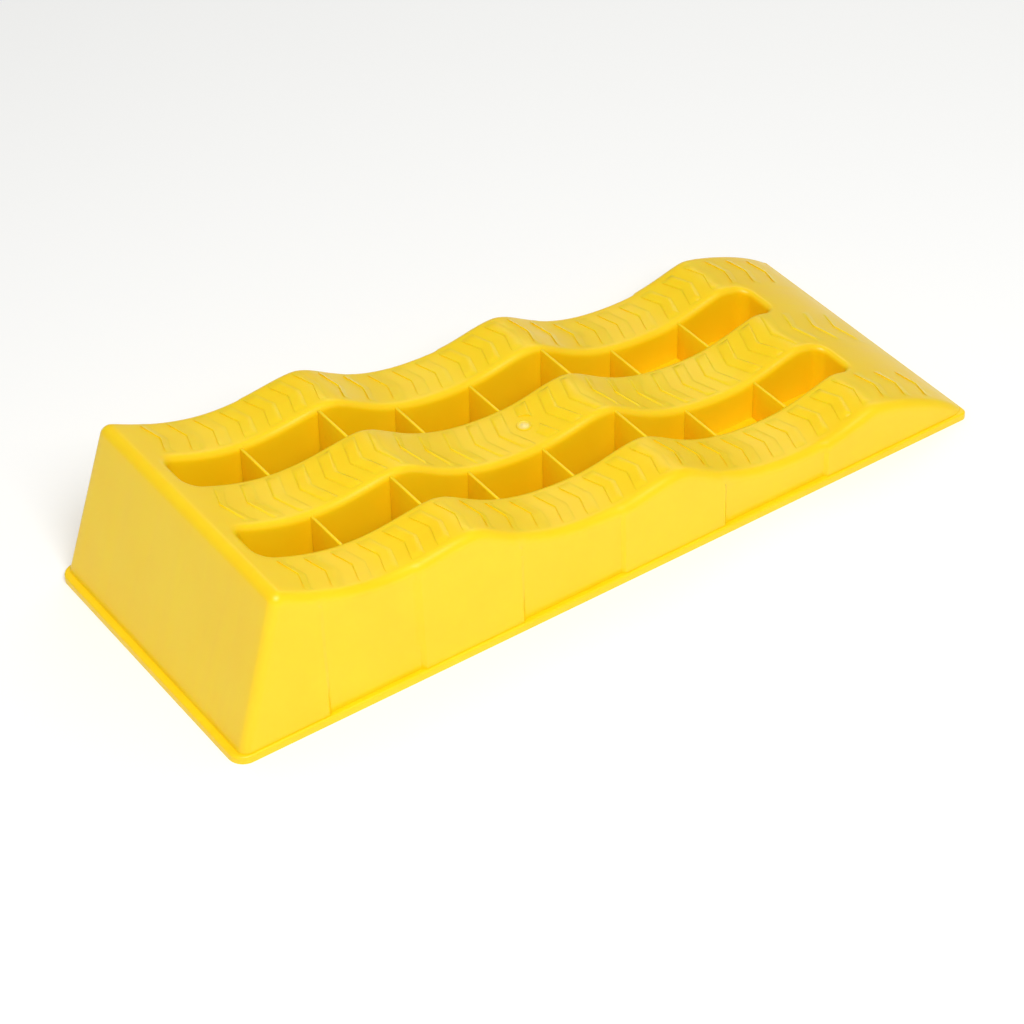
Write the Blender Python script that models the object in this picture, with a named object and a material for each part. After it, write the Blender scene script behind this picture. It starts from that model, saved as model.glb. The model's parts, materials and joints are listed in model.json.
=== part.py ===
"""Wheel-levelling ramp for caravans and motorhomes: one injection-moulded body in yellow plastic.

A wheel climbs from the low end over three cradles, each higher than the last, and stops in one of them.
The body is a thin shell that is open underneath. Two long slots, closed by a thin floor at the ground,
lie between three tread strips, and thin ribs cross the slots and the hollow underside.

Frame: origin at the centre of the foot on the ground, +Z up, +X towards the low end, Y across.
Stations are distances from the high end of the foot. All sizes are in metres.
"""

import math

import bmesh
import bpy
from mathutils import Matrix, Vector
from mathutils.geometry import interpolate_bezier

# Overall size, over the flange round the foot
LENGTH = 0.530
WIDTH = 0.2016
HEIGHT = 0.1044  # sharp edge of the high end, before it is rounded

# Foot flange and outer walls
FLANGE_HEIGHT = 0.005
FLANGE_LIP = 0.0016  # how far the flange stands out from the side walls
HEAD_CORNER = 0.010  # plan radius of the flange's corners at the high end
TOE_CORNER = 0.004  # and at the low end
END_FOOT = 0.003  # station of the end wall at the ground
END_SLOPE = 0.305  # end wall, metres inwards per metre of height
SIDE_DRAFT = 0.045  # side walls, metres inwards per metre of height
WALL = 0.0032
TREAD_THICKNESS = 0.0036  # measured straight down
RIM_ROUND = 0.006
END_ROUND = 0.0065

# Tread: a cradle and a crest for each of the three levels, high end first
FIRST_CREST = 0.1605  # station
APPROACH = 0.0726  # from the last crest to the low end
LAST_CREST_LAG = 0.0056  # the last crest sits this much nearer the low end than the others
CRADLE_BACK = 0.045  # from a crest back to its cradle
CRADLE_HEIGHTS = (0.0791, 0.0528, 0.0289)
CREST_HEIGHTS = (0.0833, 0.0588, 0.0385)
START_SLOPE = -0.571
START_HANDLE = 0.041
FIRST_CRADLE_HANDLE = 0.0143
FALL_HANDLES = (0.21, 0.68)  # shares of the run from a crest down to the next cradle
RISE_HANDLES = (0.42, 0.31)  # shares of the run from a cradle up to its crest
LAST_RISE_HANDLES = (0.44, 0.16)
APPROACH_HANDLES = (0.010, 0.014)
TOE_HEIGHT = 0.0046  # the tread's height where it runs out in the flange
TOE_SLOPE = -1.2
TOE_SETBACK = 0.001
CURVE_STEPS = 9  # straight pieces in each Bezier stretch of the tread

# Slots between the tread strips, and the ribs across them
MIDDLE_STRIP = 0.0466  # width of the middle strip
SLOT_WIDTH = 0.0294
SLOT_START = 0.0505  # station
SLOT_END_MARGIN = 0.056  # from the slot to the low end
SLOT_CORNER = 0.008
SLOT_FLOOR = 0.002
RIB = 0.002
RIB_PITCH = 0.05325
RIB_DROP = 0.0018  # rib tops below the tread

# Shallow panels in the side walls: how far each runs before and after its cradle's lowest point
PANEL_RUNS = ((0.053, 0.010), (0.066, 0.005), (0.065, 0.012))
PANEL_DEPTH = 0.0017  # at the ground
PANEL_DRAFT = 0.022

# Modelling aids
UNDERCUT = 0.004  # how far cutters and walls run below the ground before it is trimmed flat
OVERLAP = 0.001  # how far a rib reaches into the walls that it joins
POCKET_CHAMFER = 0.007  # keeps the wall thick behind the rounded edge of the high end
LEAST_POCKET = 0.006  # lowest height worth hollowing, near the low end
TOE_WALL = 0.010  # at least this much is left solid at the low end
ARC_STEPS = 4
RIM_STEPS = 1  # extra rows of faces in a rounded rim

YELLOW = (0.95, 0.62, 0.02, 1.0)


# ---------------------------------------------------------------------------
# Derived sizes and the tread's profile
# ---------------------------------------------------------------------------
def at(station):
    """World X of a station."""
    return station - LENGTH / 2


def half_width(z):
    """Half the body's width at a height: the side walls lean in by their draft."""
    return WIDTH / 2 - FLANGE_LIP - SIDE_DRAFT * z


def end_wall(z):
    """Station of the end wall's outer face at a height."""
    return END_FOOT + END_SLOPE * z


SLOT_INNER = MIDDLE_STRIP / 2
SLOT_OUTER = SLOT_INNER + SLOT_WIDTH
SLOT_END = LENGTH - SLOT_END_MARGIN

CREST_PITCH = (LENGTH - FIRST_CREST - APPROACH - LAST_CREST_LAG) / (len(CREST_HEIGHTS) - 1)
CRESTS = [FIRST_CREST + CREST_PITCH * i for i in range(len(CREST_HEIGHTS))]
CRADLES = [crest - CRADLE_BACK for crest in CRESTS]
CRESTS[-1] += LAST_CREST_LAG


def bezier(start, start_slope, start_run, end, end_slope, end_run):
    """Points of one Bezier stretch: its handles lie start_run and end_run along the two slopes."""
    start, end = Vector(start), Vector(end)
    handle_a = start + Vector((start_run, start_run * start_slope))
    handle_b = end - Vector((end_run, end_run * end_slope))
    return [tuple(p) for p in interpolate_bezier(start, handle_a, handle_b, end, CURVE_STEPS + 1)]


def tread_profile():
    """(station, height) points of the tread, from the sharp edge of the high end to the toe."""
    points = bezier(
        (end_wall(HEIGHT), HEIGHT), START_SLOPE, START_HANDLE,
        (CRADLES[0], CRADLE_HEIGHTS[0]), 0, FIRST_CRADLE_HANDLE,
    )
    last = len(CRESTS) - 1
    for i, (cradle, crest) in enumerate(zip(CRADLES, CRESTS)):
        low, high = (cradle, CRADLE_HEIGHTS[i]), (crest, CREST_HEIGHTS[i])
        share_a, share_b = LAST_RISE_HANDLES if i == last else RISE_HANDLES
        rise = crest - cradle
        points += bezier(low, 0, share_a * rise, high, 0, share_b * rise)[1:]
        if i < last:
            following = (CRADLES[i + 1], CRADLE_HEIGHTS[i + 1])
            share_a, share_b = FALL_HANDLES
            fall = following[0] - crest
            points += bezier(high, 0, share_a * fall, following, 0, share_b * fall)[1:]
    toe = (LENGTH - TOE_SETBACK, TOE_HEIGHT)
    run_a, run_b = APPROACH_HANDLES
    points += bezier(high, 0, run_a, toe, TOE_SLOPE, run_b)[1:]
    return points


TREAD = tread_profile()


def tread_height(station):
    """Height of the tread at a station."""
    for (x0, z0), (x1, z1) in zip(TREAD, TREAD[1:]):
        if x0 <= station <= x1:
            return z0 + (z1 - z0) * (station - x0) / (x1 - x0)
    return TREAD[0][1] if station < TREAD[0][0] else TREAD[-1][1]


def arc(centre, radius, start, end, steps=ARC_STEPS):
    """Points on an arc between two angles in radians."""
    return [
        (
            centre[0] + radius * math.cos(start + (end - start) * i / steps),
            centre[1] + radius * math.sin(start + (end - start) * i / steps),
        )
        for i in range(steps + 1)
    ]


def rounded_rectangle(x0, x1, y0, y1, radius, toe_radius):
    """Plan outline with round corners, anticlockwise; toe_radius is for the two corners at x1."""
    quarter = math.pi / 2
    return (
        arc((x1 - toe_radius, y0 + toe_radius), toe_radius, -quarter, 0)
        + arc((x1 - toe_radius, y1 - toe_radius), toe_radius, 0, quarter)
        + arc((x0 + radius, y1 - radius), radius, quarter, 2 * quarter)
        + arc((x0 + radius, y0 + radius), radius, 2 * quarter, 3 * quarter)
    )


def round_corner(before, corner, after, radius):
    """Arc that rounds a corner between two straight lines, and how much of each line it uses up."""
    before, corner, after = Vector(before), Vector(corner), Vector(after)
    side_a, side_b = (before - corner).normalized(), (after - corner).normalized()
    half_angle = side_a.angle(side_b) / 2
    used = radius / math.tan(half_angle)
    centre = corner + (side_a + side_b).normalized() * (radius / math.sin(half_angle))
    start, end = corner + side_a * used - centre, corner + side_b * used - centre
    start_angle = math.atan2(start.y, start.x)
    turn = start.angle_signed(end)
    return arc(centre, radius, start_angle, start_angle - turn), used


# ---------------------------------------------------------------------------
# Modelling helpers
# ---------------------------------------------------------------------------
def clear_scene():
    for old in list(bpy.data.objects):
        bpy.data.objects.remove(old, do_unlink=True)


def new_collection(name):
    collection = bpy.data.collections.new(name)
    bpy.context.scene.collection.children.link(collection)
    return collection


def extruded(name, outlines, low, high, upright, collection, rim=0):
    """Closed solid from flat outlines: plan outlines run from low to high in Z, upright ones in Y.

    A rim rounds the edges of both flat faces with that radius.
    """
    curve = bpy.data.curves.new(name, "CURVE")
    curve.dimensions = "2D"
    curve.fill_mode = "BOTH"
    curve.extrude = (high - low) / 2 - rim
    curve.bevel_depth = rim
    curve.bevel_resolution = RIM_STEPS
    curve.offset = -rim
    for outline in outlines:
        spline = curve.splines.new("POLY")
        spline.points.add(len(outline) - 1)
        spline.use_cyclic_u = True
        for point, (u, v) in zip(spline.points, outline):
            point.co = (u, v, 0, 1)
    guide = bpy.data.objects.new(name, curve)
    collection.objects.link(guide)
    evaluated = guide.evaluated_get(bpy.context.evaluated_depsgraph_get())
    mesh = bpy.data.meshes.new_from_object(evaluated)
    bpy.data.objects.remove(guide, do_unlink=True)

    middle = (low + high) / 2
    if upright:
        placing = Matrix.Translation((0, middle, 0)) @ Matrix.Rotation(math.pi / 2, 4, "X")
    else:
        placing = Matrix.Translation((0, 0, middle))
    mesh.transform(placing)
    form = bmesh.new()
    form.from_mesh(mesh)
    bmesh.ops.remove_doubles(form, verts=form.verts, dist=1e-6)
    bmesh.ops.recalc_face_normals(form, faces=form.faces)
    form.to_mesh(mesh)
    form.free()
    mesh.name = name
    solid = bpy.data.objects.new(name, mesh)
    collection.objects.link(solid)
    return solid


def hide_aid(aid):
    aid.hide_render = True
    aid.display_type = "WIRE"


def combine(target, aid, operation):
    """Adds an exact Boolean that keeps its aid live, hidden and drawn as wire."""
    modifier = target.modifiers.new(operation.lower() + "_" + aid.name, "BOOLEAN")
    modifier.operation = operation
    modifier.solver = "EXACT"
    modifier.object = aid
    hide_aid(aid)


def lean_sides(solid, side_y):
    """Leans the outer faces of a solid, with their rims, onto a drafted wall side_y(z) away."""
    mesh = solid.data
    outermost = max(abs(v.co.y) for v in mesh.vertices)
    for vertex in mesh.vertices:
        if abs(vertex.co.y) > outermost - RIM_ROUND - OVERLAP:
            leaning = side_y(vertex.co.z) - outermost
            vertex.co.y += leaning if vertex.co.y > 0 else -leaning


# ---------------------------------------------------------------------------
# The body
# ---------------------------------------------------------------------------
def body_outline():
    """Side view of the outer shell, with the high end's edge rounded."""
    edge = TREAD[0]
    ahead = (edge[0] + 1.0, edge[1] + START_SLOPE)
    rounding, used = round_corner((end_wall(0), 0), edge, ahead, END_ROUND)
    kept = [p for p in TREAD if math.dist(p, edge) > used]
    below = -UNDERCUT - RIM_ROUND
    outline = [(end_wall(below), below)] + rounding + kept + [(TREAD[-1][0], below)]
    return [(at(x), z) for x, z in outline]


def make_shell(collection):
    side = half_width(0)
    body = extruded("ramp_body", [body_outline()], -side, side, True, collection, RIM_ROUND)
    lean_sides(body, half_width)
    return body


def side_panels(collection):
    """Wedges that sink the shallow panels into both side walls."""

    def panel_y(z):
        return WIDTH / 2 - FLANGE_LIP - PANEL_DEPTH - PANEL_DRAFT * z

    aids = []
    for number, (cradle, (before, after)) in enumerate(zip(CRADLES, PANEL_RUNS), 1):
        top = max(tread_height(cradle - before), tread_height(cradle + after)) + RIM_ROUND
        x0, x1 = at(cradle - before), at(cradle + after)
        for side, tag in ((1, "left"), (-1, "right")):
            bpy.ops.mesh.primitive_cube_add(size=1)
            aid = bpy.context.active_object
            aid.name = f"panel_{number}_{tag}"
            for vertex in aid.data.vertices:
                z = top if vertex.co.z > 0 else FLANGE_HEIGHT
                x = x1 if vertex.co.x > 0 else x0
                y = WIDTH if vertex.co.y > 0 else panel_y(z)
                vertex.co = (x, side * y, z)
            if side < 0:
                aid.data.flip_normals()
            for home in list(aid.users_collection):
                home.objects.unlink(aid)
            collection.objects.link(aid)
            aids.append(aid)
    return aids


def flange(collection):
    outline = rounded_rectangle(
        -LENGTH / 2, LENGTH / 2, -WIDTH / 2, WIDTH / 2, HEAD_CORNER, TOE_CORNER
    )
    return extruded("flange", [outline], -UNDERCUT, FLANGE_HEIGHT, False, collection)


def slots(collection):
    x0, x1 = at(SLOT_START), at(SLOT_END)
    outlines = [
        rounded_rectangle(x0, x1, low, low + SLOT_WIDTH, SLOT_CORNER, SLOT_CORNER)
        for low in (SLOT_INNER, -SLOT_OUTER)
    ]
    return extruded("slots", outlines, SLOT_FLOOR, HEIGHT + UNDERCUT, False, collection)


def rib_stations():
    """As many ribs as the slot holds at the rib pitch, centred along it."""
    count = round((SLOT_END - SLOT_START) / RIB_PITCH) - 1
    middle = (SLOT_START + SLOT_END) / 2
    return [middle + RIB_PITCH * (i - (count - 1) / 2) for i in range(count)]


def slot_ribs(side, collection):
    """The thin ribs across one slot, with their tops just under the tread."""
    outlines = []
    for station in rib_stations():
        top = tread_height(station) - RIB_DROP
        x0, x1 = at(station - RIB / 2), at(station + RIB / 2)
        outlines.append([(x0, -UNDERCUT), (x1, -UNDERCUT), (x1, top), (x0, top)])
    low, high = sorted((side * (SLOT_INNER - OVERLAP), side * (SLOT_OUTER + OVERLAP)))
    tag = "left" if side > 0 else "right"
    return extruded(f"slot_ribs_{tag}", outlines, low, high, True, collection)


def pocket(start, end):
    """Side view of one pocket under the tread, between two stations."""
    roof = [
        (x, z - TREAD_THICKNESS) for x, z in TREAD if start + OVERLAP < x < end - OVERLAP
    ]
    first = (start, tread_height(start) - TREAD_THICKNESS)
    last = (end, tread_height(end) - TREAD_THICKNESS)
    outline = [(start, -2 * UNDERCUT), first, *roof, last, (end, -2 * UNDERCUT)]
    return [(at(x), z) for x, z in outline]


def head_pocket(end):
    """Side view of the pocket behind the sloping end wall, chamfered under the rounded edge."""
    roof_z = tread_height(end_wall(HEIGHT) + POCKET_CHAMFER) - TREAD_THICKNESS
    wall_z = roof_z - POCKET_CHAMFER
    roof_x = end_wall(wall_z) + WALL + POCKET_CHAMFER
    outline = [
        (end_wall(-2 * UNDERCUT) + WALL, -2 * UNDERCUT),
        (end_wall(wall_z) + WALL, wall_z),
        (roof_x, tread_height(roof_x) - TREAD_THICKNESS),
        (end, tread_height(end) - TREAD_THICKNESS),
        (end, -2 * UNDERCUT),
    ]
    return [(at(x), z) for x, z in outline]


def toe_station():
    """Where the hollow stops near the low end, because the body gets too thin."""
    station = LENGTH - TOE_WALL
    while tread_height(station) - TREAD_THICKNESS < LEAST_POCKET:
        station -= OVERLAP
    return station


def pockets(collection):
    """Everything hollow on the underside: rows of pockets between the ribs, open at the bottom."""
    ends = [head_pocket(SLOT_START - WALL), pocket(SLOT_END + WALL, toe_station())]
    walls = [SLOT_START - RIB / 2, *rib_stations(), SLOT_END + RIB / 2]
    between = [pocket(a + RIB / 2, b - RIB / 2) for a, b in zip(walls, walls[1:])]

    def side_face(z):
        return half_width(z) - WALL

    aids = [
        extruded(
            "pockets_middle", ends + between, -(SLOT_INNER - WALL), SLOT_INNER - WALL, True, collection
        )
    ]
    for side, tag in ((1, "left"), (-1, "right")):
        low, high = sorted((side * (SLOT_OUTER + WALL), side * side_face(0)))
        outer = extruded(f"pockets_outer_{tag}", ends + between, low, high, True, collection)
        lean_sides(outer, side_face)
        aids.append(outer)
        low, high = sorted((side * SLOT_INNER, side * SLOT_OUTER))
        aids.append(extruded(f"pockets_slot_{tag}", ends, low, high, True, collection))
    return aids


def ground_trim(collection):
    """A slab whose top is the ground: it leaves every wall and rib flat at the foot."""
    bpy.ops.mesh.primitive_cube_add(size=1)
    aid = bpy.context.active_object
    aid.name = "ground_trim"
    aid.data.transform(Matrix.Diagonal((LENGTH * 2, WIDTH * 2, UNDERCUT * 4, 1)))
    aid.location = (0, 0, -UNDERCUT * 2)
    for home in list(aid.users_collection):
        home.objects.unlink(aid)
    collection.objects.link(aid)
    return aid


def moulded_plastic():
    material = bpy.data.materials.new("yellow_moulded_plastic")
    material.use_nodes = True
    shader = material.node_tree.nodes["Principled BSDF"]
    shader.inputs["Base Color"].default_value = YELLOW
    shader.inputs["Roughness"].default_value = 0.35
    shader.inputs["Metallic"].default_value = 0.0
    return material


def main():
    clear_scene()
    parts = new_collection("ramp_leveler")
    aids = new_collection("cutters")

    body = make_shell(parts)
    for panel in side_panels(aids):
        combine(body, panel, "DIFFERENCE")
    combine(body, flange(aids), "UNION")
    combine(body, slots(aids), "DIFFERENCE")
    for side in (1, -1):
        combine(body, slot_ribs(side, aids), "UNION")
    for aid in pockets(aids):
        combine(body, aid, "DIFFERENCE")
    combine(body, ground_trim(aids), "DIFFERENCE")

    body.data.materials.append(moulded_plastic())
    body.data.shade_smooth()
    body.data.set_sharp_from_angle(angle=math.radians(30))


main()
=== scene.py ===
# %% [markdown]
# # A wheel-levelling ramp in yellow plastic
# The object is one injection moulding: a thin shell, open underneath, with three cradles that a caravan
# wheel can stop in. Every cell below builds or finishes one feature of it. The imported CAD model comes
# first, because it fixes the size and the frame: +X points to the low end, +Z up, and the ground is z = 0.
# All lengths are in metres, and a "station" is a distance from the high end of the foot.

import json
import math

import bmesh
import bpy
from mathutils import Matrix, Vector
from mathutils.geometry import delaunay_2d_cdt, interpolate_bezier

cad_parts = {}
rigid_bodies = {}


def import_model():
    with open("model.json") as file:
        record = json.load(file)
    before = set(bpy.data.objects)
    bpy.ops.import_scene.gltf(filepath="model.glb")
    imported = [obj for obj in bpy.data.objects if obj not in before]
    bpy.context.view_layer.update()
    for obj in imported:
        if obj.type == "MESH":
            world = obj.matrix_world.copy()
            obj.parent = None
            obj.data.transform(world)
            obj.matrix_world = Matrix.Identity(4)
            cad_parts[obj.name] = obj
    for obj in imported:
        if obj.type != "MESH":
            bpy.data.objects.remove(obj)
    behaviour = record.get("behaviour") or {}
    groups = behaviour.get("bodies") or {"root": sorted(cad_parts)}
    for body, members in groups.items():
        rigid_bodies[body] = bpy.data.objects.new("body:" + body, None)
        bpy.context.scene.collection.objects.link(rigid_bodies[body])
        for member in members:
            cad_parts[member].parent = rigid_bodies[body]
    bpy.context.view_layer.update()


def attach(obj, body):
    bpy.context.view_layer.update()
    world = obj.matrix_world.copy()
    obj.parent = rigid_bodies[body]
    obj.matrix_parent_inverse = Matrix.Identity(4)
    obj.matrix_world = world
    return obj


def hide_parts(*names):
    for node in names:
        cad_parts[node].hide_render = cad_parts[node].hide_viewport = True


for old in list(bpy.data.objects):
    bpy.data.objects.remove(old, do_unlink=True)
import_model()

# %% [markdown]
# ## The sizes
# A moulded part is described by few numbers: the foot's outline, the draft of each wall (moulds need a
# slope of a few degrees so that the part slides out) and the radius of each edge. They are the same
# values that the CAD solid was made from, so this finer model lies on it. Only the side panels further
# down are a little deeper here.

# %% Sizes of the moulding
LENGTH = 0.530
WIDTH = 0.2016
HEIGHT = 0.1044  # where the tread and the end wall would meet in a sharp edge

FLANGE_HEIGHT = 0.005
FLANGE_LIP = 0.0016
HEAD_CORNER = 0.010  # plan radius of the foot's corners at the high end
TOE_CORNER = 0.004  # and at the low end
FLANGE_EDGE = 0.0014  # rounding of the bead's edge
END_FOOT = 0.003
END_SLOPE = 0.305
SIDE_DRAFT = 0.045
WALL = 0.0032
TOE_WALL = 0.010  # at least this much is solid at the low end
TREAD_THICKNESS = 0.0036
RIM_ROUND = 0.006
END_ROUND = 0.0065

MIDDLE_STRIP = 0.0466
SLOT_WIDTH = 0.0294
SLOT_START = 0.0505
SLOT_END = LENGTH - 0.056
SLOT_CORNER = 0.008
SLOT_FLOOR = 0.002
SLOT_LIP = 0.0045  # rounding between the tread and the slot walls
SLOT_INNER = MIDDLE_STRIP / 2
SLOT_OUTER = SLOT_INNER + SLOT_WIDTH

RIB = 0.002
RIB_PITCH = 0.05325
RIB_DROP = 0.0018  # rib tops below the tread
RIBS = round((SLOT_END - SLOT_START) / RIB_PITCH) - 1  # cross ribs in one slot
GATE_X = 0.2647 - LENGTH / 2  # where the plastic flowed into the mould

BELOW = 0.012  # walls run this far below the ground until they are trimmed


def half_width(z):
    """Half the body's width at a height."""
    return WIDTH / 2 - FLANGE_LIP - SIDE_DRAFT * z


def end_wall(z):
    """World X of the high end's wall at a height."""
    return END_FOOT + END_SLOPE * z - LENGTH / 2


# %% [markdown]
# ## The tread's profile
# Seen from the side, the tread is a chain of S-curves: down into a cradle, up over a crest, and down
# again. Bezier stretches suit it, because both ends of a stretch have a height and a slope, and the
# handles say how soon the curve leaves them. At a cradle and at a crest the slope is zero.

# %% Tread profile from Bezier stretches
CRADLES = ((0.1155, 0.0791), (0.26095, 0.0528), (0.4064, 0.0289))  # station, height
CRESTS = ((0.1605, 0.0833), (0.30595, 0.0588), (0.4570, 0.0385))
HEAD_SLOPE = -0.571  # slope of the tread where it starts, at the high end
TOE = (LENGTH - 0.001, 0.0046)  # where the tread ends, at the flange of the low end
TOE_SLOPE = -1.2
STEPS = 26


def stretch(start, start_slope, start_run, end, end_slope, end_run):
    """One Bezier stretch; each handle runs a length along the slope at its end."""
    start, end = Vector(start), Vector(end)
    leave = start + Vector((start_run, start_run * start_slope))
    arrive = end - Vector((end_run, end_run * end_slope))
    return [tuple(p) for p in interpolate_bezier(start, leave, arrive, end, STEPS)]


def tread_profile():
    """Points of the tread in world X and Z, from the high end to the low end."""
    edge = (end_wall(HEIGHT) + LENGTH / 2, HEIGHT)
    points = stretch(edge, HEAD_SLOPE, 0.041, CRADLES[0], 0, 0.0143)
    for i in range(3):
        cradle, crest = CRADLES[i], CRESTS[i]
        rise = crest[0] - cradle[0]
        shares = (0.42, 0.31) if i < 2 else (0.44, 0.16)
        points += stretch(cradle, 0, shares[0] * rise, crest, 0, shares[1] * rise)[1:]
        if i < 2:
            fall = CRADLES[i + 1][0] - crest[0]
            points += stretch(crest, 0, 0.21 * fall, CRADLES[i + 1], 0, 0.68 * fall)[1:]
    points += stretch(CRESTS[2], 0, 0.010, TOE, TOE_SLOPE, 0.014)[1:]
    return [(x - LENGTH / 2, z) for x, z in points]


TREAD = tread_profile()


def tread_height(x):
    """Height of the tread at a world X."""
    for (x0, z0), (x1, z1) in zip(TREAD, TREAD[1:]):
        if x0 <= x <= x1:
            return z0 + (z1 - z0) * (x - x0) / (x1 - x0)
    return TREAD[0][1] if x < TREAD[0][0] else TREAD[-1][1]


low_cradle = tread_height(CRADLES[2][0] - LENGTH / 2)
print("tread points:", len(TREAD), "lowest cradle (mm):", round(low_cradle * 1000, 1))


# %% [markdown]
# ## The side view as a closed outline
# The outline runs up the end wall, round its top edge, along the tread, down at the low end and back
# under the ground. Its points lie close together where it bends and further apart where it is straight,
# because a flat stretch needs no detail. Each point knows its distance along the outline, and that
# distance is used later to unroll the surface.

# %% Closed outline with the high edge rounded
def arc(centre, radius, start, end, steps):
    """Points on an arc between two angles in radians."""
    angles = [start + (end - start) * i / steps for i in range(steps + 1)]
    return [(centre[0] + radius * math.cos(a), centre[1] + radius * math.sin(a)) for a in angles]


def straight(a, b, spacing):
    """Points between two ends, both left out."""
    count = max(1, round(math.dist(a, b) / spacing))
    return [tuple(Vector(a).lerp(Vector(b), i / count)) for i in range(1, count)]


def rounded_edge(before, corner, after, radius, steps):
    """Arc that rounds a corner, and the length of each side that it uses up."""
    before, corner, after = Vector(before), Vector(corner), Vector(after)
    side_a, side_b = (before - corner).normalized(), (after - corner).normalized()
    half_angle = side_a.angle(side_b) / 2
    used = radius / math.tan(half_angle)
    centre = corner + (side_a + side_b).normalized() * radius / math.sin(half_angle)
    start, end = corner + side_a * used - centre, corner + side_b * used - centre
    first = math.atan2(start.y, start.x)
    return arc(centre, radius, first, first - start.angle_signed(end), steps), used


TREAD_SPACING = 0.0019  # least distance between points of the tread


def side_outline():
    """The closed outline, and the number of its point under the low end."""
    edge = TREAD[0]
    foot = (end_wall(-BELOW), -BELOW)
    rounding, used = rounded_edge(foot, edge, (edge[0] + 1, edge[1] + HEAD_SLOPE), END_ROUND, 10)
    tread = [p for p in TREAD if math.dist(p, edge) > used + 0.001]
    thinned = [tread[0]]
    for p in tread[1:]:
        if math.dist(p, thinned[-1]) > TREAD_SPACING or p is tread[-1]:
            thinned.append(p)
    toe_foot = (thinned[-1][0], -BELOW)
    above = [foot] + straight(foot, rounding[0], 0.008) + rounding + thinned + [toe_foot]
    return above + straight(toe_foot, foot, 0.012), len(above) - 1


OUTLINE, TOE_FOOT = side_outline()
ALONG = [0.0]
for here, after in zip(OUTLINE, OUTLINE[1:] + OUTLINE[:1]):
    ALONG.append(ALONG[-1] + math.dist(here, after))
print("outline points:", len(OUTLINE), "way round (mm):", round(ALONG[-1] * 1000))


# %% [markdown]
# ## Rounded rims on both long sides
# The edge between the tread and a side wall has a 6 mm round. A Bevel modifier could make it, but the
# outline bends both ways and has short edges, where bevels run into each other. So the rows of the
# round are worked out: each row is the outline moved inwards by a share of the radius, and sideways by
# the rest, which is a quarter circle when seen along the outline.

# %% Rows of the rim
RIM_ROWS = 7
LEAST_TURN = 0.35  # keeps the inset of a sharp corner under three times the distance

corner_normals = []
for i, (x, z) in enumerate(OUTLINE):
    back = Vector(OUTLINE[i - 1]) - Vector((x, z))
    ahead = Vector(OUTLINE[(i + 1) % len(OUTLINE)]) - Vector((x, z))
    turn_a, turn_b = Vector((-back.y, back.x)).normalized(), Vector((ahead.y, -ahead.x)).normalized()
    inward = (turn_a + turn_b).normalized()
    corner_normals.append(inward / max(LEAST_TURN, inward.dot(turn_b)))


def inset_outline(distance):
    """The side outline moved inwards by a distance."""
    return [(x + n.x * distance, z + n.y * distance) for (x, z), n in zip(OUTLINE, corner_normals)]


# %% [markdown]
# ## Shallow panels in the side walls
# The mould sinks three shallow panels into each side wall, under the cradles. Each is deepest at the
# foot and fades out upwards, because it has less draft than the wall round it. They are made by moving
# the wall's own points inwards, so their edges stay soft, as in moulded plastic.

# %% Depth of the side panels
PANELS = ((0.0625, 0.1255), (0.195, 0.266), (0.3414, 0.4184))  # stations
PANEL_DEPTH = 0.0020  # at the foot
PANEL_FADE = 0.014  # metres less deep per metre of height
PANEL_EDGE = 0.0024  # width of the sloping edge


def panel_depth(x, z):
    """How far the side wall is sunk at a point."""
    station = x + LENGTH / 2
    deep = max(0.0, PANEL_DEPTH - PANEL_FADE * max(z, 0.0))
    for start, end in PANELS:
        share = min(station - start, end - station) / PANEL_EDGE + 0.5
        if share > 0:
            return deep * min(1.0, share)
    return 0.0


# %% [markdown]
# ## Slots with rounded lips
# Two long slots lie between the three tread strips, closed by a thin floor at the ground. In plan they
# are rectangles with round corners, and a lip of 4.5 mm radius leads from the tread into each wall. Each
# lip is a stack of loops that follow the tread's height, so the lip rises and falls with it.

# %% Loops of the slots
LIP_ROWS = 6
straight_xs = [
    x for x, z in OUTLINE[:TOE_FOOT]
    if SLOT_START + SLOT_CORNER < x + LENGTH / 2 < SLOT_END - SLOT_CORNER
]


def slot_plan(low_y):
    """Points of one slot in plan with their outward directions, anticlockwise."""
    x0, x1 = SLOT_START - LENGTH / 2, SLOT_END - LENGTH / 2
    y0, y1 = low_y, low_y + SLOT_WIDTH
    r, quarter, steps = SLOT_CORNER, math.pi / 2, 7
    loop = [((x, y0), (0, -1)) for x in straight_xs]
    centres = ((x1 - r, y0 + r), (x1 - r, y1 - r), (x0 + r, y1 - r), (x0 + r, y0 + r))
    for turn, centre in enumerate(centres):
        first = (turn - 1) * quarter
        for i in range(steps + 1):
            angle = first + quarter * i / steps
            out = (math.cos(angle), math.sin(angle))
            loop.append(((centre[0] + r * out[0], centre[1] + r * out[1]), out))
        if turn in (0, 2):
            x = x1 if turn == 0 else x0
            way = 1 if turn == 0 else -1
            ys = straight((x, y0 + r), (x, y1 - r), 0.004)[::way]
            loop += [((x, y), (way, 0)) for _, y in ys]
        if turn == 1:
            loop += [((x, y1), (0, 1)) for x in reversed(straight_xs)]
    return loop


def lip_loop(plan, angle):
    """The slot's loop at one angle of its lip: 0 on the tread, 90 degrees on the wall."""
    out = SLOT_LIP * (1 - math.sin(angle))
    down = SLOT_LIP * (1 - math.cos(angle))
    loop = []
    for (x, y), (nx, ny) in plan:
        px, py = x + nx * out, y + ny * out
        loop.append((px, py, tread_height(px) - down))
    return loop


SLOT_PLANS = [slot_plan(SLOT_INNER), slot_plan(-SLOT_OUTER)]
print("points round a slot:", len(SLOT_PLANS[0]))


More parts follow.
